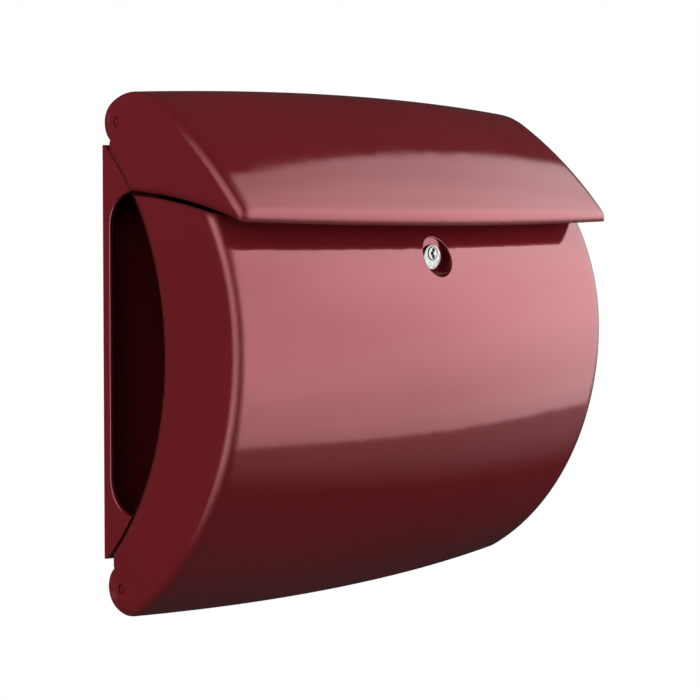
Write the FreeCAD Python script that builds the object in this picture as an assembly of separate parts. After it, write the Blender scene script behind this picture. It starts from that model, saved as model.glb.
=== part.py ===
import FreeCAD, Part
import math
import os

# Wall mailbox with a newspaper tunnel behind it.
# +X is to the right seen from the front, +Y goes into the wall, +Z is up.
# The origin is on the wall face, in the middle of the four wall-screw holes.
# All sizes are in millimetres and degrees.

# Overall
width = 412.0                # over the cheeks of the lid and the door
wall = 3.0                   # moulded wall of every plastic piece
edge_round = 5.0             # rounding where a cheek meets the front
running_fit = 0.06           # radial play of a part that turns on a pin
press_gap = 0.02             # radial play of a pin or screw that stays put
piece_gap = 0.3              # play between pieces that are screwed together
side_play = 0.5              # play between an ear and the sheet beside it

# Newspaper tunnel: a D-shaped housing against the wall
housing_depth = 70.6
housing_height = 316.0       # over the two tips of the D
tip_flat = 2.0               # cut off each tip
side_inset = 1.0             # housing sides stand this far inside the cheek faces
lid_gap = 1.6                # between housing and lid
door_gap = 3.5               # between housing and door
opening_back = 8.5           # strip left behind the side opening
opening_height = 241.0
opening_r = 26.0
opening_edge_r = 1.2

# Wall screws
mount_x = 300.0
mount_z = 200.0
mount_hole_r = 2.75
mount_pad_r = 8.0
mount_pad = 1.5

# Screws that hold the inner shell to the back plate
screw_x = 100.0
screw_z = 135.0
screw_r = 2.0
screw_head_r = 4.0
screw_head = 2.4
boss_r = 6.0
pillar = 7.0                 # height of the pillars on the back plate

# Lid: one arc chain, given at its ends and at its middle
lid_wall_gap = 0.8
lid_hub_r = 18.0
lid_pin_rise = 14.5          # pin above the tip of the D
lid_leave_end_deg = 60.0         # where the top leaves the round end
lid_leave_mid_deg = 50.0
lid_rise_r_end = 46.0
lid_rise_r_mid = 60.7
lid_top_r_end = 69.0
lid_top_r_mid = 58.0
lid_top_turn_end_deg = 32.1
lid_top_turn_mid_deg = 34.0
lid_slope_r = 382.0
lid_tip_drop = 64.9          # from the pin to where the slope rounds over into the front lip
lid_tip_r = 8.0
lid_open_deg = 55.0
skirt_r = 500.0              # lower edge of the lid cheeks
skirt_y = -7.0
skirt_drop = 50.2            # from the pin to the top of that edge
lid_door_gap = 3.4

# Door
door_wall_gap = 3.0
door_hub_r = 19.0
door_pin_drop = 18.0         # pin below the tip of the D
door_leave_end_deg = 60.0
door_leave_mid_deg = 40.0
door_rise_r_end = 26.2
door_rise_r_mid = 38.6
belly_slope_end_deg = 30.0       # slope at which the belly starts
belly_slope_mid_deg = 35.0
belly_r_end = 232.0
belly_r_mid = 248.0
breast_r = 177.0             # upper part of the front
door_open_deg = 70.0

# Hinges
hub_start_deg = 60.0             # where the round ends of lid and door begin, below the pin
pin_r = 4.0
pin_sink = 0.6               # pin face below the cheek face
pin_chamfer = 0.6
ear = 5.0                    # thickness of the ears that hold the pins
ear_r = 10.0
ear_web = 16.0
stop_r = 11.0                # inner radius of the opening stops
stop_span_deg = 15.0
stop_reach = 3.5
stop_spare_deg = 1.0             # degrees left at the end of the travel

# Letter deck under the lid
deck_gap = 2.0               # deck above the lower edge of the lid cheeks
slot_length = 330.0
slot_width = 42.0
slot_rim = 16.0              # deck left in front of the slot
slot_r = 6.0
gusset = 2.5
gusset_reach = 16.0
gusset_height = 34.0

# Lock
lock_drop = 51.3             # lock axis below the top of the lid skirt
recess_r = 15.0
recess_min = 1.0             # depth of the recess at its top
rim_round = 0.8
lock_face_r = 9.75
lock_face = 2.0              # face stands this far off the recess floor
lock_face_round = 0.6
barrel_r = 9.2
barrel_flats = 16.0
barrel_length = 18.0
plug_r = 5.1
plug_rise = 3.0              # plug axis above the barrel axis
plug_proud = 0.3
keyway_height = 7.4
keyway_width = 1.5
keyway_step = 1.0
keyway_depth = 9.0
washer_r = 12.5
washer = 1.0
nut_flats = 22.0
nut = 5.0
cam = 2.5
cam_length = 26.0
cam_width = 12.0
cam_hub_r = 8.0
cam_play = 0.5
cam_square = 6.0
cam_screw_r = 2.0
cam_screw_head_r = 4.2
cam_screw_head = 2.4
cam_screw_length = 9.0
thread_spare = 1.0
strike = 3.0
strike_width = 44.0
strike_drop = 17.0
strike_reach = 14.0          # strike in front of the deck edge
strike_play = 1.0

V = FreeCAD.Vector
ALONG_X = V(1, 0, 0)
ALONG_Y = V(0, 1, 0)
half = width / 2
cheek_in = half - wall
tip_z = housing_height / 2
plate_top = tip_z - tip_flat
housing_r = (housing_depth ** 2 + tip_z ** 2) / (2 * housing_depth)
housing_y = housing_r - housing_depth
lid_pin_z = tip_z + lid_pin_rise
door_pin_z = -tip_z - door_pin_drop
lid_tip_z = lid_pin_z - lid_tip_drop
skirt_top = lid_pin_z - skirt_drop
skirt_z = skirt_top - skirt_r
lock_z = skirt_top - lock_drop
lid_pin_y = -(lid_wall_gap + lid_hub_r)
door_pin_y = -(door_wall_gap + door_hub_r)
side_out = half - side_inset
side_in = side_out - wall
shell_half = side_in - piece_gap
ear_out = shell_half
plug_z = lock_z + plug_rise
spare = 40.0                 # how far cutters run past what they cut
touch = 0.01                 # two places closer than this are the same


def mix(end, middle, share):
    """A size between its value at the ends and in the middle of the width."""
    return end + (middle - end) * share


def polar(centre, radius, angle):
    """A point (y, z) at an angle from +Y towards +Z."""
    a = math.radians(angle)
    return (centre[0] + radius * math.cos(a), centre[1] + radius * math.sin(a))


def crown_share(x):
    """How far the section at x has swelled: 0 at the cheeks, 1 in the middle."""
    return 1 - (x / half) ** 2


class Outline:
    """A run of tangent arcs in (y, z), each turning left, closed by straight lines."""

    def __init__(self, start, heading):
        self.start = start
        self.last = start
        self.heading = heading
        self.path = []

    def centre(self, radius):
        return polar(self.last, radius, self.heading + 90)

    def turn(self, radius, angle):
        middle_of_arc = self.centre(radius)
        first = self.heading - 90
        halfway = polar(middle_of_arc, radius, first + angle / 2)
        self.last = polar(middle_of_arc, radius, first + angle)
        self.path.append((halfway, self.last))
        self.heading += angle

    def line(self, point):
        self.last = point
        self.path.append((None, point))

    def wire(self, x, flip):
        def at(point):
            return V(x, point[0], flip * point[1])

        edges = []
        last = self.start
        for halfway, end in self.path:
            if halfway is None:
                edges.append(Part.LineSegment(at(last), at(end)).toShape())
            else:
                edges.append(Part.Arc(at(last), at(halfway), at(end)).toShape())
            last = end
        return Part.Wire(edges)


def lid_outline(share, inset):
    """Section of the lid: round end, rise, top, slope, tip and front lip."""
    leave = mix(lid_leave_end_deg, lid_leave_mid_deg, share)
    hub_r = lid_hub_r - inset
    run = Outline(polar((lid_pin_y, lid_pin_z), hub_r, -hub_start_deg), 90 - hub_start_deg)
    run.turn(hub_r, hub_start_deg)
    run.turn(hub_r, leave)
    run.turn(mix(lid_rise_r_end, lid_rise_r_mid, share) - inset, 90 - leave)
    run.turn(mix(lid_top_r_end, lid_top_r_mid, share) - inset,
             mix(lid_top_turn_end_deg, lid_top_turn_mid_deg, share))
    slope_r = lid_slope_r - inset
    drop = (lid_tip_z - run.centre(slope_r)[1]) / lid_slope_r
    run.turn(slope_r, 180 - math.degrees(math.asin(drop)) - (run.heading - 90))
    run.turn(lid_tip_r - inset, 270 - run.heading)
    low = lid_tip_z - spare - inset
    run.line((run.last[0], low))
    run.line((run.start[0] + inset, low))
    run.line(run.start)
    return run


def door_outline(share, inset):
    """Section of the door, upside down: round end, rise, belly and breast."""
    leave = mix(door_leave_end_deg, door_leave_mid_deg, share)
    slope = mix(belly_slope_end_deg, belly_slope_mid_deg, share)
    hub_r = door_hub_r - inset
    run = Outline(polar((door_pin_y, -door_pin_z), hub_r, -hub_start_deg), 90 - hub_start_deg)
    run.turn(hub_r, hub_start_deg)
    run.turn(hub_r, leave)
    run.turn(mix(door_rise_r_end, door_rise_r_mid, share) - inset, 90 - leave + slope)
    run.turn(mix(belly_r_end, belly_r_mid, share) - inset, 90 - slope)
    upper_r = breast_r - inset
    high = skirt_top + spare / 4 + inset
    drop = (run.last[1] + high) / upper_r
    run.turn(upper_r, math.degrees(math.asin(drop)))
    run.line((run.start[0] + inset, run.last[1]))
    run.line(run.start)
    return run


def swelled(outline, flip, reach, inset):
    """Solid through three sections: both ends and the swelled middle."""
    wires = []
    for x in (-reach, 0.0, reach):
        wires.append(outline(crown_share(x), inset).wire(x, flip))
    return Part.makeLoft(wires, True, False)


def rounded_ends(solid, outline, flip):
    """Round the cheek edges, apart from the two lines that close the section."""
    run = outline(0.0, 0.0)
    corner = run.path[-2][1]
    edges = []
    for edge in solid.Edges:
        ends = [v.Point for v in edge.Vertexes]
        if any(abs(abs(p.x) - half) > touch for p in ends):
            continue
        if any(math.hypot(p.y - corner[0], flip * p.z - corner[1]) < touch for p in ends):
            continue
        edges.append(edge)
    return solid.makeFillet(edge_round, edges)


def cross_bar(y, z, radius, reach):
    """A round bar along X, centred on the middle of the mailbox."""
    return Part.makeCylinder(radius, 2 * reach, V(-reach, y, z), ALONG_X)


def rod(x, y0, y1, z, radius):
    """A round bar along Y."""
    return Part.makeCylinder(radius, y1 - y0, V(x, y0, z), ALONG_Y)


def block(x0, x1, y0, y1, z0, z1):
    return Part.makeBox(x1 - x0, y1 - y0, z1 - z0, V(x0, y0, z0))


def polygon_prism(points, direction):
    face = Part.Face(Part.makePolygon(points + [points[0]]))
    return face.extrude(direction)


def ring_sector(x0, x1, centre, inner, outer, first, last):
    """Part of a ring round an axis along X, between two angles from +Y towards +Z."""
    middle = (first + last) / 2

    def at(radius, angle):
        y, z = polar(centre, radius, angle)
        return V(x0, y, z)

    edges = [
        Part.Arc(at(outer, first), at(outer, middle), at(outer, last)).toShape(),
        Part.LineSegment(at(outer, last), at(inner, last)).toShape(),
        Part.Arc(at(inner, last), at(inner, middle), at(inner, first)).toShape(),
        Part.LineSegment(at(inner, first), at(outer, first)).toShape(),
    ]
    return Part.Face(Part.Wire(edges)).extrude(V(x1 - x0, 0, 0))


def mirrored(solid):
    return solid.mirror(V(0, 0, 0), ALONG_X)


def door_face_y(z):
    """Outer face of the door at a height on its upper part, in the middle of the width."""
    run = door_outline(1.0, 0.0)
    belly_end = run.path[3][1]
    return belly_end[0] + breast_r - math.sqrt(breast_r ** 2 - (z + belly_end[1]) ** 2)


# Lock stations along Y, from the face to the cam
floor_y = door_face_y(lock_z + recess_r) + recess_min
face_y = floor_y - lock_face
barrel_end = floor_y + barrel_length
cam_y = barrel_end + cam_play
strike_y = cam_y - strike_play - strike
deck_front_y = strike_y + strike_reach


def back_plate():
    """Flat wall plate with the sides of the tunnel, screw pillars and wall holes."""
    plate = block(-side_in, side_in, -wall, 0, -plate_top, plate_top)
    disc = cross_bar(housing_y, 0, housing_r, side_out)
    side = disc.common(block(side_in, side_out, -housing_depth - spare, 0, -plate_top, plate_top))
    reach = housing_depth + spare
    opening = block(side_in - spare, side_out + spare, -reach, -opening_back,
                    -opening_height / 2, opening_height / 2)
    back_edges = []
    for edge in opening.Edges:
        ends = [v.Point for v in edge.Vertexes]
        if all(abs(p.y + opening_back) < touch for p in ends) and abs(ends[0].x - ends[1].x) > 1:
            back_edges.append(edge)
    side = side.cut(opening.makeFillet(opening_r, back_edges))
    rim = []
    for edge in side.Edges:
        box = edge.BoundBox
        on_face = abs(box.XMin - side_out) < touch and abs(box.XMax - side_out) < touch
        inside = max(abs(box.ZMin), abs(box.ZMax)) < opening_height / 2 + touch
        if on_face and inside and box.YMax < touch - opening_back:
            rim.append(edge)
    side = side.makeFillet(opening_edge_r, rim)
    plate = plate.fuse([side, mirrored(side)])
    for x in (-mount_x / 2, mount_x / 2):
        for z in (-mount_z / 2, mount_z / 2):
            plate = plate.fuse(rod(x, -wall - mount_pad, -wall, z, mount_pad_r))
            plate = plate.cut(rod(x, -spare, spare, z, mount_hole_r))
    for x, z in screw_places():
        plate = plate.fuse(rod(x, -wall - pillar, -wall, z, boss_r))
        plate = plate.cut(rod(x, -wall - pillar, -wall / 2, z, screw_r + press_gap))
    return plate.removeSplitter()


def screw_places():
    return [(x, z) for x in (-screw_x, 0.0, screw_x) for z in (-screw_z, screw_z)]


def screw_head_y():
    """Seat of a screw head: the boss face, level with the shell at its inner side."""
    return housing_y - math.sqrt(housing_r ** 2 - (screw_z - boss_r) ** 2)


def ear_solid(pin_y, pin_z):
    """Ear on the right that holds a hinge pin, with its web down to the shell."""
    x0 = ear_out - ear
    hub = Part.makeCylinder(ear_r, ear, V(x0, pin_y, pin_z), ALONG_X)
    sign = math.copysign(1.0, pin_z)
    foot = sign * (abs(pin_z) - tip_z + spare)
    web = block(x0, ear_out, pin_y - ear_web / 2, pin_y + ear_web / 2,
                min(pin_z, pin_z - foot), max(pin_z, pin_z - foot))
    web = web.cut(cross_bar(housing_y, 0, housing_r - wall / 2, half))
    bore = Part.makeCylinder(pin_r + press_gap, 3 * ear, V(x0 - ear, pin_y, pin_z), ALONG_X)
    return hub.fuse(web).cut(bore)


def inner_shell():
    """Curved front wall of the tunnel, with the pin ears, the letter deck and the strike."""
    outer = cross_bar(housing_y, 0, housing_r, shell_half)
    shell = outer.cut(cross_bar(housing_y, 0, housing_r - wall, half))
    front = block(-half, half, -housing_depth - spare, -wall - piece_gap, -tip_z, tip_z)
    shell = shell.common(front)
    low = skirt_r + deck_gap
    deck = cross_bar(skirt_y, skirt_z, low + wall, shell_half)
    deck = deck.cut(cross_bar(skirt_y, skirt_z, low, half))
    deck = deck.common(block(-half, half, deck_front_y, 0, 0, skirt_top + spare))
    deck = deck.cut(cross_bar(housing_y, 0, housing_r - wall / 2, half))
    slot_y = deck_front_y + slot_rim
    slot = block(-slot_length / 2, slot_length / 2, slot_y, slot_y + slot_width,
                 skirt_top - spare, skirt_top + spare)
    corners = []
    for edge in slot.Edges:
        ends = [v.Point for v in edge.Vertexes]
        if abs(ends[0].z - ends[1].z) > 1:
            corners.append(edge)
    deck = deck.cut(slot.makeFillet(slot_r, corners))
    tongue = cross_bar(skirt_y, skirt_z, low + wall, strike_width / 2)
    tongue = tongue.cut(cross_bar(skirt_y, skirt_z, low, half))
    tongue = tongue.common(block(-half, half, strike_y, deck_front_y + wall, 0, skirt_top + spare))
    lip_top = skirt_z + math.sqrt((low + wall / 2) ** 2 - (strike_y + strike - skirt_y) ** 2)
    lip = block(-strike_width / 2, strike_width / 2, strike_y, strike_y + strike,
                lip_top - strike_drop - wall, lip_top)
    pieces = [deck, tongue, lip]
    for x in (-shell_half, -slot_length / 4, slot_length / 4 - gusset, shell_half - gusset):
        pieces.append(gusset_plate(x, low))
    for pin_y, pin_z in ((lid_pin_y, lid_pin_z), (door_pin_y, door_pin_z)):
        right = ear_solid(pin_y, pin_z)
        pieces.append(right)
        pieces.append(mirrored(right))
    for x, z in screw_places():
        pieces.append(rod(x, screw_head_y(), -wall - pillar, z, boss_r))
    shell = shell.fuse(pieces)
    for x, z in screw_places():
        shell = shell.cut(rod(x, -half, -wall, z, screw_r + 2 * press_gap))
    return shell


def gusset_plate(x, low):
    """Rib under the letter deck, against the tunnel wall."""
    foot_z = skirt_top - gusset_height
    foot_y = housing_y - math.sqrt((housing_r - wall / 2) ** 2 - foot_z ** 2)
    tip_y = foot_y - gusset_reach
    top_z = skirt_z + math.sqrt((low + wall / 2) ** 2 - (tip_y - skirt_y) ** 2)
    points = [V(x, foot_y, foot_z), V(x, tip_y, top_z), V(x, 0, skirt_z + low + wall), V(x, 0, foot_z)]
    plate = polygon_prism(points, V(gusset, 0, 0))
    plate = plate.common(cross_bar(skirt_y, skirt_z, low + wall / 2, half))
    return plate.cut(cross_bar(housing_y, 0, housing_r - wall / 2, half))


def shell_screw(x, z):
    """Pan-head screw from the front through the shell into a pillar."""
    seat = screw_head_y()
    head = rod(x, seat - screw_head, seat, z, screw_head_r)
    rim = [e for e in head.Edges if abs(e.BoundBox.YMax - (seat - screw_head)) < touch]
    head = head.makeFillet(screw_head / 2, rim)
    shank = rod(x, seat, -wall, z, screw_r)
    slot = block(x - screw_head_r, x + screw_head_r, seat - screw_head, seat - screw_head / 2,
                 z - screw_head / 4, z + screw_head / 4)
    return head.fuse(shank).cut(slot)


def hinge_hole(pin_y, pin_z):
    return cross_bar(pin_y, pin_z, pin_r + running_fit, half + spare)


def lid():
    """Swelled lid with two cheeks, notches for the ears and its opening stops."""
    outer = rounded_ends(swelled(lid_outline, 1, half, 0.0), lid_outline, 1)
    solid = outer.cut(swelled(lid_outline, 1, cheek_in, wall))
    solid = solid.cut(cross_bar(housing_y, 0, housing_r + lid_gap, half + spare))
    solid = solid.cut(cross_bar(skirt_y, skirt_z, skirt_r, half + spare))
    first = lid_open_deg - 90 + stop_lead() + stop_spare_deg
    solid = hub_details(solid, lid_pin_y, lid_pin_z, lid_hub_r, first, -1)
    return solid.removeSplitter()


def stop_lead():
    """Angle from the middle of an ear web to its edge, at the inside of a stop."""
    return math.degrees(math.asin(ear_web / 2 / stop_r))


def hub_details(solid, pin_y, pin_z, hub_r, first, side):
    """Pin holes, ear notches and opening stops at both ends of a lid or a door."""
    notch_in = ear_out - ear - side_play
    low = pin_z if side > 0 else pin_z - 2 * hub_r
    high = pin_z + 2 * hub_r if side > 0 else pin_z
    notch = block(notch_in, cheek_in, pin_y + ear_web / 4, 0, low - side * wall, high - side * wall)
    stop = ring_sector(cheek_in - stop_reach, cheek_in + wall / 2, (pin_y, pin_z), stop_r,
                       hub_r - wall / 2, first, first + stop_span_deg)
    solid = solid.cut([notch, mirrored(notch)])
    solid = solid.fuse([stop, mirrored(stop)])
    return solid.cut(hinge_hole(pin_y, pin_z))


def door():
    """Swelled door with two cheeks, the lock recess, ear notches and opening stops."""
    outer = rounded_ends(swelled(door_outline, -1, half, 0.0), door_outline, -1)
    solid = outer.cut(swelled(door_outline, -1, cheek_in, wall))
    solid = solid.common(cross_bar(skirt_y, skirt_z, skirt_r - lid_door_gap, half + spare))
    solid = solid.cut(cross_bar(housing_y, 0, housing_r + door_gap, half + spare))
    cup = rod(0, floor_y - 2 * spare, floor_y + wall, lock_z, recess_r + wall).common(outer)
    solid = solid.fuse(cup)
    recess = rod(0, floor_y - 2 * spare, floor_y, lock_z, recess_r)
    solid = round_rim(solid.cut(recess))
    solid = solid.cut(barrel_body(floor_y - wall, floor_y + 2 * wall, press_gap))
    first = 90 - door_open_deg - stop_lead() - stop_spare_deg - stop_span_deg
    solid = hub_details(solid, door_pin_y, door_pin_z, door_hub_r, first, 1)
    return solid.removeSplitter()


def round_rim(solid):
    """Round the edge where the lock recess meets the face of the door."""
    rim = []
    for edge in solid.Edges:
        middle = edge.valueAt((edge.FirstParameter + edge.LastParameter) / 2)
        on_wall = abs(math.hypot(middle.x, middle.z - lock_z) - recess_r) < touch
        if on_wall and middle.y < floor_y - touch and edge.BoundBox.XLength > recess_r:
            rim.append(edge)
    return solid.makeFillet(rim_round, rim)


def hinge_pin(side, pin_y, pin_z):
    """Plain pin pressed into an ear from outside, its face just below the cheek."""
    outer = half - pin_sink
    inner = ear_out - ear - side_play
    pin = Part.makeCylinder(pin_r, outer - inner, V(inner, pin_y, pin_z), ALONG_X)
    pin = pin.makeChamfer(pin_chamfer, [e for e in pin.Edges if abs(e.BoundBox.XLength) < touch])
    return pin if side > 0 else mirrored(pin)


def barrel_body(y0, y1, play):
    """Round barrel with two flats that keep it from turning in the door."""
    body = rod(0, y0, y1, lock_z, barrel_r + play)
    across = barrel_flats / 2 + play
    return body.common(block(-across, across, y0, y1, lock_z - half, lock_z + half))


def lock_barrel():
    face = rod(0, face_y, floor_y, lock_z, lock_face_r)
    rim = [e for e in face.Edges if abs(e.BoundBox.YMax - face_y) < touch]
    face = face.makeFillet(lock_face_round, rim)
    solid = face.fuse(barrel_body(floor_y, barrel_end, 0.0))
    return solid.cut(rod(0, face_y - wall, barrel_end + wall, plug_z, plug_r + running_fit)).removeSplitter()


def lock_plug():
    """Turning plug with a stepped keyway in front and a square end for the cam."""
    front = face_y - plug_proud
    solid = rod(0, front, cam_y, plug_z, plug_r)
    side = cam_square / 2
    solid = solid.fuse(block(-side, side, cam_y, cam_y + cam - press_gap, plug_z - side, plug_z + side))
    top = plug_z + keyway_height / 2
    step = keyway_height / 3
    cuts = []
    for index in range(3):
        shift = keyway_step / 2 * (1 - 2 * (index % 2))
        z1 = top - index * step
        cuts.append(block(shift - keyway_width / 2, shift + keyway_width / 2, front - wall,
                          front + keyway_depth, z1 - step, z1))
    solid = solid.cut(cuts)
    thread_y = cam_y + cam - cam_screw_length - thread_spare
    thread = rod(0, thread_y, cam_y + cam + wall, plug_z, cam_screw_r + press_gap)
    return solid.cut(thread).removeSplitter()


def lock_washer():
    start = floor_y + wall
    ring = rod(0, start, start + washer, lock_z, washer_r)
    return ring.cut(rod(0, start - wall, start + wall, lock_z, barrel_r + press_gap))


def lock_nut():
    start = floor_y + wall + washer
    corner_r = nut_flats / math.sqrt(3)
    points = []
    for corner in range(6):
        x, z = polar((0, lock_z), corner_r, 60 * corner)
        points.append(V(x, start, z))
    solid = polygon_prism(points, V(0, nut, 0))
    return solid.cut(rod(0, start - wall, start + nut + wall, lock_z, barrel_r + press_gap))


def lock_cam():
    """Flat arm on the end of the plug; it points to the right while the door is free."""
    hub = rod(0, cam_y, cam_y + cam, plug_z, cam_hub_r)
    arm_end = cam_length - cam_width / 2
    arm = block(0, arm_end, cam_y, cam_y + cam, plug_z - cam_width / 2, plug_z + cam_width / 2)
    tip = rod(arm_end, cam_y, cam_y + cam, plug_z, cam_width / 2)
    side = cam_square / 2 + press_gap
    hole = block(-side, side, cam_y - wall, cam_y + 2 * cam, plug_z - side, plug_z + side)
    return hub.fuse([arm, tip]).cut(hole).removeSplitter()


def cam_screw():
    seat = cam_y + cam
    head = rod(0, seat, seat + cam_screw_head, plug_z, cam_screw_head_r)
    rim = [e for e in head.Edges if abs(e.BoundBox.YMin - (seat + cam_screw_head)) < touch]
    head = head.makeFillet(cam_screw_head / 3, rim)
    shank = rod(0, seat - cam_screw_length, seat, plug_z, cam_screw_r)
    slot = block(-cam_screw_head_r, cam_screw_head_r, seat + cam_screw_head / 2, seat + cam_screw_head,
                 plug_z - cam_screw_head / 4, plug_z + cam_screw_head / 4)
    return head.fuse(shank).cut(slot)


def pieces():
    """Every piece of the mailbox by its node name."""
    made = {
        "back_plate": back_plate(),
        "inner_shell": inner_shell(),
        "shell_screws": Part.makeCompound([shell_screw(x, z) for x, z in screw_places()]),
        "lid": lid(),
        "door": door(),
        "lock_barrel": lock_barrel(),
        "lock_plug": lock_plug(),
        "lock_washer": lock_washer(),
        "lock_nut": lock_nut(),
        "lock_cam": lock_cam(),
        "cam_screw": cam_screw(),
    }
    for name, side in (("left", -1), ("right", 1)):
        made["lid_pin_" + name] = hinge_pin(side, lid_pin_y, lid_pin_z)
        made["door_pin_" + name] = hinge_pin(side, door_pin_y, door_pin_z)
    return made


os.makedirs("parts", exist_ok=True)
for node, shape in pieces().items():
    shape.exportStep("parts/" + node + ".step")
    box = shape.BoundBox
    print(node, len(shape.Solids), "solid", round(shape.Volume), "mm3", shape.isValid(),
          [round(v, 1) for v in (box.XMin, box.XMax, box.YMin, box.YMax, box.ZMin, box.ZMax)])
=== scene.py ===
import math

import bpy
from mathutils import Matrix, Vector


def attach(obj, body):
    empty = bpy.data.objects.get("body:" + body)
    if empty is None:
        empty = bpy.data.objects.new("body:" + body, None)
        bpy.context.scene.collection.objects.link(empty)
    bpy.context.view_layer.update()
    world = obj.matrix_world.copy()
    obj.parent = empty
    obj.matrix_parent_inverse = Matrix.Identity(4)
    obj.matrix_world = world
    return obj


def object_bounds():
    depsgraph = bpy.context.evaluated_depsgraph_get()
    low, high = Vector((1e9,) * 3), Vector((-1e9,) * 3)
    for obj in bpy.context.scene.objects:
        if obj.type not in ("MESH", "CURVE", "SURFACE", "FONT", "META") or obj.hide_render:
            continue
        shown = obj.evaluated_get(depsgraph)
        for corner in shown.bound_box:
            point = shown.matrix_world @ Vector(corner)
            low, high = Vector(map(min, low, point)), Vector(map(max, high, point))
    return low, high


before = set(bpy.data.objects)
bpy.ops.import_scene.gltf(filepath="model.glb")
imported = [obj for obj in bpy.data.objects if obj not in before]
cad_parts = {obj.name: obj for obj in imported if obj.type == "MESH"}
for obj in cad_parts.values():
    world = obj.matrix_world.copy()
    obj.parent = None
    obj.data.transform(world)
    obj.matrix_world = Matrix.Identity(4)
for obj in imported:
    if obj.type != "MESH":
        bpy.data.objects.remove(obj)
cad_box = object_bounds()

# A gloss red wall mailbox: looks, light and camera.
# All places are in metres in the mailbox's own frame: +X right, +Y into the wall, +Z up.

# Camera
EYE = Vector((-1.0310, -1.0857, 0.1015))
EYE_YAW = 45.081             # degrees, turned from +Y towards +X
EYE_PITCH = -2.177           # degrees, below level
LENS = 92.53
SENSOR = 36.0
FRAME_SHIFT = -0.0912

# Finishes, linear colour
WHITE = (1.0, 1.0, 1.0, 1.0)
RED = (0.170, 0.0125, 0.0175, 1.0)
RED_DEEP = (0.155, 0.0110, 0.0155, 1.0)
# Inner shell: the red darkened nearly to black, painted shade inside the box and where it shows through the
# gaps
PAINTED_SHADE_RED = (0.022, 0.0030, 0.0034, 1.0)
PAINTED_SHADE_RED_DEEP = (0.016, 0.0022, 0.0025, 1.0)
PIN_RED = (0.140, 0.0110, 0.0150, 1.0)
PIN_RED_DEEP = (0.120, 0.0090, 0.0120, 1.0)
RED_GLINT = (1.0, 0.41, 0.45, 1.0)
PLATED = (0.36, 0.365, 0.36, 1.0)
PLATED_DULL = (0.28, 0.285, 0.28, 1.0)
ZINC = (0.55, 0.55, 0.54, 1.0)
ZINC_DULL = (0.40, 0.40, 0.41, 1.0)
# Near-black for the keyway sheet, painted shade of the slot, and for the dark joint round the plug
KEYWAY_DARK = (0.004, 0.004, 0.004, 1.0)
KEYWAY_DARK_DULL = (0.012, 0.010, 0.008, 1.0)
DUST = (0.42, 0.39, 0.36, 1.0)
DUST_ROUGHNESS = 0.6

# How strongly a finish mirrors, as its index of refraction
PLAIN_IOR = 1.5
LACQUER_IOR = 2.2
INSIDE_IOR = 1.15
KEYWAY_IOR = 1.2

# Patterns: scale per metre, detail, roughness
FLOW_MARKS = (7.0, 3.0, 0.5)
DUST_SPECKS = (900.0, 2.0, 0.6)
GLOSS_CLOUDS = (26.0, 4.0, 0.55)
MOULD_TEXTURE = (160.0, 2.0, 0.4)
PLATING_CLOUDS = (320.0, 4.0, 0.6)
METAL_TEXTURE = (2400.0, 2.0, 0.5)

# Where in a pattern its effect begins and is full
FLOW_SPREAD = (0.35, 0.65)
SPECK_SPREAD = (0.60, 0.72)
GLOSS_SPREAD = (0.3, 0.7)
PLATING_SPREAD = (0.35, 0.65)
DUST_SLOPE = (0.55, 1.0)     # how far a face looks up

# Fine relief: bump strength and depth
MOULD_RIPPLE = (0.02, 0.0002)
SATIN_GRAIN = (0.08, 0.0002)
PIN_MARKS = (0.06, 0.0002)
PLATING_GRAIN = (0.05, 0.00005)
ZINC_GRAIN = (0.1, 0.00005)

# Moulded edges that look rounder than they are
SOFT_EDGE = 0.009
SOFT_EDGE_SAMPLES = 8

# Round edges that stay crisp: plane of the circle, its centre, and how far out soft edges start and are full
LOCK_RECESS = {"Plane": (1.0, 0.0, 1.0), "Centre": (0.0, 0.0, 0.0710), "Start": 0.0200, "Full": 0.0260}
LID_PIN = {"Plane": (0.0, 1.0, 1.0), "Centre": (0.0, -0.0188, 0.1725), "Start": 0.0072, "Full": 0.0102}
DOOR_PIN = {"Plane": (0.0, 1.0, 1.0), "Centre": (0.0, -0.0220, -0.1760), "Start": 0.0072, "Full": 0.0102}

# Marks on the lock face: a near-black keyway sheet as painted shade, and a dark joint round the plug
PLUG_FRONT = -0.14816
PLUG_Z = 0.0740
PLUG_R = 0.0051
MARK_PROUD = 0.00005
KEYWAY_HEIGHT = 0.0080
KEYWAY_WIDTH = 0.0030
KEYWAY_STEP = 0.0014
KEYWAY_BLOCKS = 3
JOINT_WIDTH = 0.0007
JOINT_SIDES = 48

# Lamps: azimuth, elevation, roll, distance, (left, right, low, high) at one metre, radiance
RIGHT_PANEL = (46.8, 4.7, 26.4, 1.7, (-1.3, 1.5, -1.2, 1.25), 2.4)
LEFT_STRIP = (-92, 0, 0, 1.7, (-0.36, 0.36, -0.62, 0.82), 2.6)
LEFT_FILL = (-75, 35, 0, 2.4, (-0.5, 0.5, -0.5, 0.5), 1.0)
BACK_FILL = (180, 20, 0, 2.2, (-0.6, 0.6, -0.5, 0.5), 1.3)

# How the lamps fade over their faces: (place from 0 to 1, share of the full light)
RIGHT_ACROSS = [(0.0, 0.8), (0.36, 0.92), (0.52, 1.2), (0.6, 1.22),
                (0.7, 1.08), (0.78, 0.88), (0.86, 0.68), (1.0, 0.5)]
RIGHT_ALONG = [(0.0, 0.0), (0.225, 0.13), (0.24, 0.62), (0.3, 0.76),
               (0.45, 1.0), (0.6, 0.98), (0.75, 0.8), (1.0, 0.6)]
RIGHT_CORNER = (0.83, 0.905, 0.93)
LEFT_ACROSS = [(0.0, 0.9), (0.5, 1.0), (1.0, 0.9)]
LEFT_ALONG = [(0.0, 0.2), (0.25, 1.0), (0.85, 1.0), (1.0, 0.6)]

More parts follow.
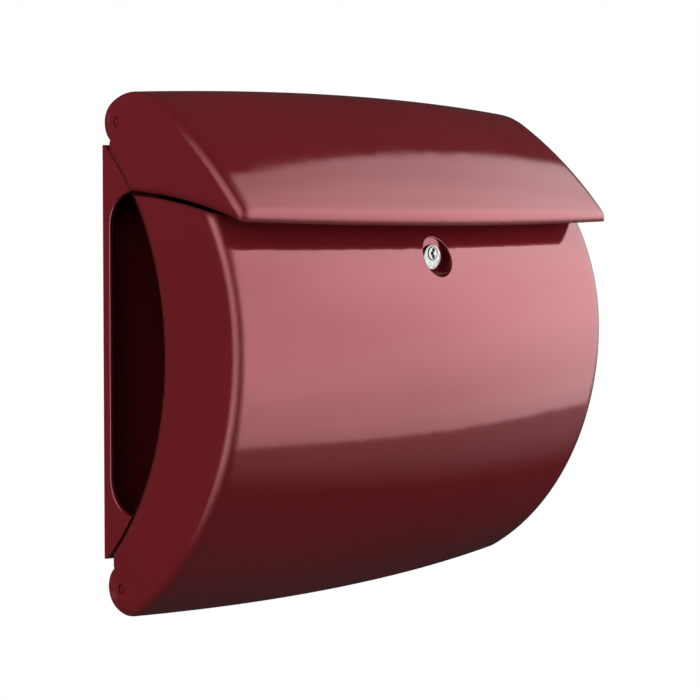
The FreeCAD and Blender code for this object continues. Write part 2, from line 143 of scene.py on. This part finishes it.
# Floor, black card and surround
FLOOR_DROP = 1.9             # floor below the box
FLOOR_SPAN = 12.0
FLOOR_TONE = (0.05, 0.05, 0.05, 1.0)   # dark, so that the underside of the box stays dark
FLOOR_ROUGHNESS = 0.9
FLAG_DROP = 0.12             # card below the box, where the open door clears it
FLAG_HALF = 0.60
FLAG_REACH = 0.50
FLAG_TONE = (0.01, 0.01, 0.01, 1.0)
FLAG_ROUGHNESS = 1.0
AMBIENT = 0.02               # even light from all round
MIRRORED_SHARE = 0.02        # how much of the white surround shows in reflections


def new_material(name):
    """A node material with a Principled shader and an output."""
    material = bpy.data.materials.new(name)
    material.use_nodes = True
    tree = material.node_tree
    tree.nodes.clear()
    shader = tree.nodes.new("ShaderNodeBsdfPrincipled")
    output = tree.nodes.new("ShaderNodeOutputMaterial")
    tree.links.new(shader.outputs["BSDF"], output.inputs["Surface"])
    return material, shader, output


def new_group(name, inputs, outputs):
    """A shader node group with named sockets: inputs as (name, kind, default), outputs as (name, kind)."""
    group = bpy.data.node_groups.new(name, "ShaderNodeTree")
    for label, kind, default in inputs:
        socket = group.interface.new_socket(label, in_out="INPUT", socket_type=kind)
        socket.default_value = default
    for label, kind in outputs:
        group.interface.new_socket(label, in_out="OUTPUT", socket_type=kind)
    return group, group.nodes.new("NodeGroupInput"), group.nodes.new("NodeGroupOutput")


def place_group(tree, group, values):
    """A shared group in a material, with the material's own values."""
    place = tree.nodes.new("ShaderNodeGroup")
    place.node_tree = group
    for label, value in values.items():
        place.inputs[label].default_value = value
    return place


def feed(tree, socket, value):
    """Give a socket its value, or link it where the value is another socket."""
    if isinstance(value, bpy.types.NodeSocket):
        tree.links.new(value, socket)
    else:
        socket.default_value = value


def add_noise(tree, scale, detail, roughness):
    """Noise that stays with its piece."""
    place = tree.nodes.new("ShaderNodeTexCoord")
    noise = tree.nodes.new("ShaderNodeTexNoise")
    noise.inputs["Scale"].default_value = scale
    noise.inputs["Detail"].default_value = detail
    noise.inputs["Roughness"].default_value = roughness
    tree.links.new(place.outputs["Object"], noise.inputs["Vector"])
    return noise.outputs["Fac"]


def add_range(tree, value, low, high, to_low=0.0, to_high=1.0):
    """A value mapped from one range to another and held inside it."""
    step = tree.nodes.new("ShaderNodeMapRange")
    ends = {"Value": value, "From Min": low, "From Max": high, "To Min": to_low, "To Max": to_high}
    for label, end in ends.items():
        feed(tree, step.inputs[label], end)
    return step.outputs["Result"]


def add_math(tree, operation, first, second):
    """Two values worked into one."""
    step = tree.nodes.new("ShaderNodeMath")
    step.operation = operation
    for socket, value in zip(step.inputs, (first, second)):
        feed(tree, socket, value)
    return step.outputs["Value"]


def add_vector_math(tree, operation, first, second, result):
    """Two vectors worked into one result, a vector or a value."""
    step = tree.nodes.new("ShaderNodeVectorMath")
    step.operation = operation
    for socket, value in zip(step.inputs, (first, second)):
        feed(tree, socket, value)
    return step.outputs[result]


def add_mix(tree, kind, share, first, second):
    """Two colours (RGBA) or two vectors (VECTOR) mixed by a share."""
    mix = tree.nodes.new("ShaderNodeMix")
    mix.data_type = kind
    tree.links.new(share, mix.inputs["Factor"])
    sides = [socket for socket in mix.inputs if socket.type == kind and socket.name in ("A", "B")]
    for socket, value in zip(sides, (first, second)):
        feed(tree, socket, value)
    return next(socket for socket in mix.outputs if socket.type == kind)


def moulded_gloss():
    """Gloss plastic from a mould: faint flow marks, fine ripple and a little settled dust."""
    group, given, made = new_group(
        "moulded_gloss",
        [("Colour", "NodeSocketColor", RED), ("Deep Colour", "NodeSocketColor", RED_DEEP),
         ("Smooth", "NodeSocketFloat", 0.06), ("Dull", "NodeSocketFloat", 0.11),
         ("Dust", "NodeSocketFloat", 0.04)],
        [("Colour", "NodeSocketColor"), ("Roughness", "NodeSocketFloat"), ("Height", "NodeSocketFloat")])
    flow = add_range(group, add_noise(group, *FLOW_MARKS), *FLOW_SPREAD)
    tint = add_mix(group, "RGBA", flow, given.outputs["Deep Colour"], given.outputs["Colour"])
    shape = group.nodes.new("ShaderNodeNewGeometry")
    split = group.nodes.new("ShaderNodeSeparateXYZ")
    group.links.new(shape.outputs["Normal"], split.inputs["Vector"])
    faces_up = add_range(group, split.outputs["Z"], *DUST_SLOPE)
    specks = add_range(group, add_noise(group, *DUST_SPECKS), *SPECK_SPREAD)
    lying = add_math(group, "MULTIPLY", faces_up, specks)
    settled = add_math(group, "MULTIPLY", lying, given.outputs["Dust"])
    clouds = add_noise(group, *GLOSS_CLOUDS)
    gloss = add_range(group, clouds, *GLOSS_SPREAD, given.outputs["Smooth"], given.outputs["Dull"])
    dusty = add_math(group, "MULTIPLY", settled, DUST_ROUGHNESS)
    group.links.new(add_mix(group, "RGBA", settled, tint, DUST), made.inputs["Colour"])
    group.links.new(add_math(group, "ADD", gloss, dusty), made.inputs["Roughness"])
    group.links.new(add_noise(group, *MOULD_TEXTURE), made.inputs["Height"])
    return group


def worked_metal():
    """Plated metal: cloudy plating, grey in the dull places, and a fine texture."""
    group, given, made = new_group(
        "worked_metal",
        [("Colour", "NodeSocketColor", PLATED), ("Dull Colour", "NodeSocketColor", PLATED_DULL),
         ("Smooth", "NodeSocketFloat", 0.15), ("Dull", "NodeSocketFloat", 0.35)],
        [("Colour", "NodeSocketColor"), ("Roughness", "NodeSocketFloat"), ("Height", "NodeSocketFloat")])
    clouds = add_range(group, add_noise(group, *PLATING_CLOUDS), *PLATING_SPREAD)
    tint = add_mix(group, "RGBA", clouds, given.outputs["Dull Colour"], given.outputs["Colour"])
    sheen = add_range(group, clouds, 0.0, 1.0, given.outputs["Dull"], given.outputs["Smooth"])
    group.links.new(tint, made.inputs["Colour"])
    group.links.new(sheen, made.inputs["Roughness"])
    group.links.new(add_noise(group, *METAL_TEXTURE), made.inputs["Height"])
    return group


def crisp_round_edge():
    """A round edge, such as the lock recess, that keeps its own normal while the edges round it are soft."""
    group, given, made = new_group(
        "crisp_round_edge",
        [("Soft Normal", "NodeSocketVector", (0.0, 0.0, 0.0)), ("Plane", "NodeSocketVector", (1.0, 1.0, 1.0)),
         ("Centre", "NodeSocketVector", (0.0, 0.0, 0.0)), ("Start", "NodeSocketFloat", 0.0),
         ("Full", "NodeSocketFloat", 1.0)],
        [("Normal", "NodeSocketVector")])
    place = group.nodes.new("ShaderNodeTexCoord")
    shape = group.nodes.new("ShaderNodeNewGeometry")
    flat = add_vector_math(group, "MULTIPLY", place.outputs["Object"], given.outputs["Plane"], "Vector")
    away = add_vector_math(group, "DISTANCE", flat, given.outputs["Centre"], "Value")
    share = add_range(group, away, given.outputs["Start"], given.outputs["Full"])
    normal = add_mix(group, "VECTOR", share, shape.outputs["Normal"], given.outputs["Soft Normal"])
    group.links.new(normal, made.inputs["Normal"])
    return group


def dress(name, group, values, relief, metallic=0.0, glint=WHITE, ior=PLAIN_IOR):
    """A material that places a shared group, with its own values and relief."""
    material, shader, _ = new_material(name)
    tree = material.node_tree
    place = place_group(tree, group, values)
    strength, depth = relief
    bump = tree.nodes.new("ShaderNodeBump")
    bump.inputs["Strength"].default_value = strength
    bump.inputs["Distance"].default_value = depth
    tree.links.new(place.outputs["Colour"], shader.inputs["Base Color"])
    tree.links.new(place.outputs["Roughness"], shader.inputs["Roughness"])
    tree.links.new(place.outputs["Height"], bump.inputs["Height"])
    tree.links.new(bump.outputs["Normal"], shader.inputs["Normal"])
    shader.inputs["Metallic"].default_value = metallic
    shader.inputs["Specular Tint"].default_value = glint
    shader.inputs["IOR"].default_value = ior
    return material


def soften(material, round_edge, crisp):
    """Shade the moulded edges of a material as if rounder, all but its crisp round edges."""
    tree = material.node_tree
    rounded = tree.nodes.new("ShaderNodeBevel")
    rounded.samples = SOFT_EDGE_SAMPLES
    rounded.inputs["Radius"].default_value = SOFT_EDGE
    normal = rounded.outputs["Normal"]
    for values in crisp:
        place = place_group(tree, round_edge, values)
        tree.links.new(normal, place.inputs["Soft Normal"])
        normal = place.outputs["Normal"]
    bump = next(node for node in tree.nodes if node.type == "BUMP")
    tree.links.new(normal, bump.inputs["Normal"])


def finish_pieces(plastic, metal, round_edge):
    """Give every piece its finish."""
    red = {"Colour": RED, "Deep Colour": RED_DEEP}
    lid_red, door_red, housing_red = (
        dress(name, plastic, red, MOULD_RIPPLE, glint=RED_GLINT, ior=LACQUER_IOR)
        for name in ("gloss_red_shell", "gloss_red_door", "gloss_red_housing"))
    soften(lid_red, round_edge, (LID_PIN,))
    soften(door_red, round_edge, (LOCK_RECESS, DOOR_PIN))
    # The inner shell's red is darkened as painted shade, and it mirrors little
    inside_painted_shade = dress(
        "satin_red_inside_painted_shade", plastic,
        {"Colour": PAINTED_SHADE_RED, "Deep Colour": PAINTED_SHADE_RED_DEEP, "Smooth": 0.22, "Dull": 0.32, "Dust": 0.08},
        SATIN_GRAIN, glint=RED_GLINT, ior=INSIDE_IOR)
    pin_red = dress(
        "turned_red_pin", plastic,
        {"Colour": PIN_RED, "Deep Colour": PIN_RED_DEEP, "Smooth": 0.15, "Dull": 0.25},
        PIN_MARKS, glint=RED_GLINT)
    plated = dress(
        "plated_lock", metal, {"Colour": PLATED, "Dull Colour": PLATED_DULL}, PLATING_GRAIN, metallic=1.0)
    zinc = dress(
        "zinc_steel", metal, {"Colour": ZINC, "Dull Colour": ZINC_DULL, "Smooth": 0.28, "Dull": 0.5},
        ZINC_GRAIN, metallic=1.0)
    finishes = {
        "lid": lid_red, "door": door_red, "back_plate": housing_red, "inner_shell": inside_painted_shade,
        "lid_pin_left": pin_red, "lid_pin_right": pin_red,
        "door_pin_left": pin_red, "door_pin_right": pin_red,
        "lock_barrel": plated, "lock_plug": plated,
        "shell_screws": zinc, "lock_washer": zinc, "lock_nut": zinc, "lock_cam": zinc, "cam_screw": zinc,
    }
    for node, material in finishes.items():
        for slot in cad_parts[node].material_slots:
            slot.material = material


def add_mark(name, corners, faces, material, body):
    """A flat mark that moves with a body."""
    mesh = bpy.data.meshes.new(name)
    mesh.from_pydata(corners, [], faces)
    mesh.materials.append(material)
    mark = bpy.data.objects.new(name, mesh)
    bpy.context.collection.objects.link(mark)
    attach(mark, body)


def lock_marks(metal):
    """A near-black keyway sheet, painted shade of the slot, and the dark joint round the turning plug, on the
    face of the lock.
    """
    dark = dress(
        "keyway_shade_and_dark_joint", metal,
        {"Colour": KEYWAY_DARK, "Dull Colour": KEYWAY_DARK_DULL, "Smooth": 0.5, "Dull": 0.7},
        ZINC_GRAIN, ior=KEYWAY_IOR)
    level = PLUG_FRONT - MARK_PROUD

    # Keyway: a near-black zigzag sheet just in front of the plug, painted shade of the slot
    corners = []
    faces = []
    step = KEYWAY_HEIGHT / KEYWAY_BLOCKS
    for index in range(KEYWAY_BLOCKS):
        shift = KEYWAY_STEP / 2 * (1 - 2 * (index % 2))
        top = PLUG_Z + KEYWAY_HEIGHT / 2 - index * step
        first = len(corners)
        for side, z in ((-1, top), (-1, top - step), (1, top - step), (1, top)):
            corners.append((shift + side * KEYWAY_WIDTH / 2, level, z))
        faces.append(tuple(range(first, first + 4)))
    add_mark("keyway_painted_shade", corners, faces, dark, "lock_core")

    corners = []
    faces = []
    for turn in range(JOINT_SIDES):
        angle = 2 * math.pi * turn / JOINT_SIDES
        for radius in (PLUG_R - JOINT_WIDTH / 2, PLUG_R + JOINT_WIDTH / 2):
            corners.append((radius * math.cos(angle), level, PLUG_Z + radius * math.sin(angle)))
        here = 2 * turn
        after = 2 * ((turn + 1) % JOINT_SIDES)
        faces.append((here, here + 1, after + 1, after))
    add_mark("plug_joint", corners, faces, dark, "door")


def panel(name, azimuth, elevation, roll, distance, edges, radiance):
    """A flat soft lamp that faces the box.

    azimuth runs from the front towards +X; edges are (left, right, low, high) at one metre,
    seen from the box, before the roll turns the right side up.
    """
    turn, rise, lean = (math.radians(angle) for angle in (azimuth, elevation, roll))
    away = Vector((math.sin(turn) * math.cos(rise), -math.cos(turn) * math.cos(rise), math.sin(rise)))
    right = Vector((math.cos(turn), math.sin(turn), 0))
    up = away.cross(right)
    across = right * math.cos(lean) + up * math.sin(lean)
    along = up * math.cos(lean) - right * math.sin(lean)
    left_edge, right_edge, low, high = (edge * distance for edge in edges)
    light = bpy.data.lights.new(name, "AREA")
    light.shape = "RECTANGLE"
    light.size = right_edge - left_edge
    light.size_y = high - low
    light.energy = radiance * math.pi * light.size * light.size_y
    lamp = bpy.data.objects.new(name, light)
    bpy.context.collection.objects.link(lamp)
    lamp.rotation_euler = Matrix((across, along, away)).transposed().to_euler()
    lamp.location = away * distance + across * (left_edge + right_edge) / 2 + along * (low + high) / 2
    lamp.visible_camera = False
    return lamp


def grade(light, across, along, corner=None):
    """Fade a lamp over its face; each list gives (place from 0 to 1, share of the full light).

    corner cuts off the corner where both places are 1: (lean of the cut, its start, where the light ends).
    """
    light.use_nodes = True
    tree = light.node_tree
    tree.nodes.clear()
    face = tree.nodes.new("ShaderNodeNewGeometry")
    split = tree.nodes.new("ShaderNodeSeparateXYZ")
    tree.links.new(face.outputs["Parametric"], split.inputs["Vector"])
    shares = []
    for axis, stops in (("X", across), ("Y", along)):
        ramp = tree.nodes.new("ShaderNodeValToRGB")
        ramp.color_ramp.interpolation = "EASE"
        marks = ramp.color_ramp.elements
        while len(marks) < len(stops):
            marks.new(0.5)
        for mark, (place, share) in zip(marks, stops):
            mark.position = place
            mark.color = (share, share, share, 1)
        tree.links.new(split.outputs[axis], ramp.inputs["Fac"])
        shares.append(ramp.outputs["Color"])
    strength = add_math(tree, "MULTIPLY", *shares)
    if corner:
        lean, start, end = corner
        out = add_math(tree, "MULTIPLY", split.outputs["X"], lean)
        up = add_math(tree, "MULTIPLY", split.outputs["Y"], 1 - lean)
        cut = add_range(tree, add_math(tree, "ADD", out, up), start, end, 1.0, 0.0)
        strength = add_math(tree, "MULTIPLY", strength, cut)
    glow = tree.nodes.new("ShaderNodeEmission")
    output = tree.nodes.new("ShaderNodeOutputLight")
    tree.links.new(strength, glow.inputs["Strength"])
    tree.links.new(glow.outputs["Emission"], output.inputs["Surface"])


def lights():
    """A large leaning panel on the right, a tall strip on the left, and soft fills above it and behind."""
    right = panel("right_panel", *RIGHT_PANEL)
    grade(right.data, RIGHT_ACROSS, RIGHT_ALONG, RIGHT_CORNER)
    left = panel("left_strip", *LEFT_STRIP)
    grade(left.data, LEFT_ACROSS, LEFT_ALONG)
    for name, values in (("left_fill", LEFT_FILL), ("back_fill", BACK_FILL)):
        fill = panel(name, *values)
        fill.visible_glossy = False


def show_white(tree, lit, white, output):
    """Show the camera the white shader, reflections a small share of it, and all else the lit one."""
    path = tree.nodes.new("ShaderNodeLightPath")
    mirrored = add_math(tree, "MAXIMUM", path.outputs["Is Glossy Ray"], path.outputs["Is Transmission Ray"])
    dimmed = add_math(tree, "MULTIPLY", mirrored, MIRRORED_SHARE)
    share = add_math(tree, "MAXIMUM", path.outputs["Is Camera Ray"], dimmed)
    mix = tree.nodes.new("ShaderNodeMixShader")
    tree.links.new(share, mix.inputs["Fac"])
    tree.links.new(lit, mix.inputs[1])
    tree.links.new(white, mix.inputs[2])
    tree.links.new(mix.outputs["Shader"], output.inputs["Surface"])


def white_surround():
    """A world that the camera sees as white and that adds a low even light."""
    world = bpy.data.worlds.new("studio")
    bpy.context.scene.world = world
    world.use_nodes = True
    tree = world.node_tree
    tree.nodes.clear()
    seen = tree.nodes.new("ShaderNodeBackground")
    seen.inputs["Color"].default_value = WHITE
    lit = tree.nodes.new("ShaderNodeBackground")
    lit.inputs["Color"].default_value = WHITE
    lit.inputs["Strength"].default_value = AMBIENT
    output = tree.nodes.new("ShaderNodeOutputWorld")
    show_white(tree, lit.outputs["Background"], seen.outputs["Background"], output)


def add_card(name, left, right, front, back, drop, material, hidden=False):
    """A flat level card of the studio, some way below the box."""
    level = cad_box[0].z - drop
    corners = [(left, front, level), (right, front, level), (right, back, level), (left, back, level)]
    mesh = bpy.data.meshes.new(name)
    mesh.from_pydata(corners, [], [(0, 1, 2, 3)])
    mesh.materials.append(material)
    card = bpy.data.objects.new(name, mesh)
    bpy.context.collection.objects.link(card)
    card.visible_camera = not hidden
    card.visible_glossy = not hidden


def black_flag():
    """A black card under the box that keeps its underside dark, unseen by the camera and in reflections."""
    material, shader, _ = new_material("black_card")
    shader.inputs["Base Color"].default_value = FLAG_TONE
    shader.inputs["Roughness"].default_value = FLAG_ROUGHNESS
    add_card("flag", -FLAG_HALF, FLAG_HALF, -FLAG_REACH, 0, FLAG_DROP, material, hidden=True)


def studio_floor():
    """A dark floor well below the box, which the camera sees as white."""
    material, shader, output = new_material("studio_floor")
    shader.inputs["Base Color"].default_value = FLOOR_TONE
    shader.inputs["Roughness"].default_value = FLOOR_ROUGHNESS
    tree = material.node_tree
    white = tree.nodes.new("ShaderNodeEmission")
    show_white(tree, shader.outputs["BSDF"], white.outputs["Emission"], output)
    half = FLOOR_SPAN / 2
    add_card("floor", -half, half, -half, half, FLOOR_DROP, material)


def camera():
    """The eye of the picture, which looks a little below level, with the frame shifted down."""
    lens = bpy.data.cameras.new("eye")
    lens.lens = LENS
    lens.sensor_width = SENSOR
    lens.shift_y = FRAME_SHIFT
    eye = bpy.data.objects.new("eye", lens)
    bpy.context.collection.objects.link(eye)
    eye.location = EYE
    eye.rotation_euler = (math.radians(90 + EYE_PITCH), 0, math.radians(-EYE_YAW))
    bpy.context.scene.camera = eye


metal = worked_metal()
finish_pieces(moulded_gloss(), metal, crisp_round_edge())
lock_marks(metal)
lights()
black_flag()
white_surround()
studio_floor()
camera()
bpy.context.scene.view_settings.view_transform = "Standard"
